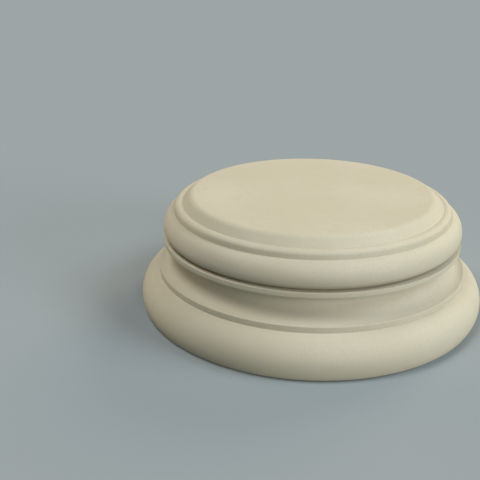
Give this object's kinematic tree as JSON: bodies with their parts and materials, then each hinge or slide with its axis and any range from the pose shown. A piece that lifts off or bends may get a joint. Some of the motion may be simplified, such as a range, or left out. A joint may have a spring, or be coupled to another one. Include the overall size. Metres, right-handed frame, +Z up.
{
  "type": "column base",
  "caption": "Round turned column base of torus, scotia and torus mouldings with fillets, a collar and a bevelled flat seat that carries the column shaft.",
  "frame": {"origin": "centre of the flat underside, on the turning axis", "axes": "+Z up along the turning axis, X and Y level"},
  "size_m": [0.4, 0.4, 0.1331],
  "materials": {
    "cast_stone": "matt"
  },
  "bodies": {
    "root": {"column_base": "cast_stone"}
  },
  "joints": []
}
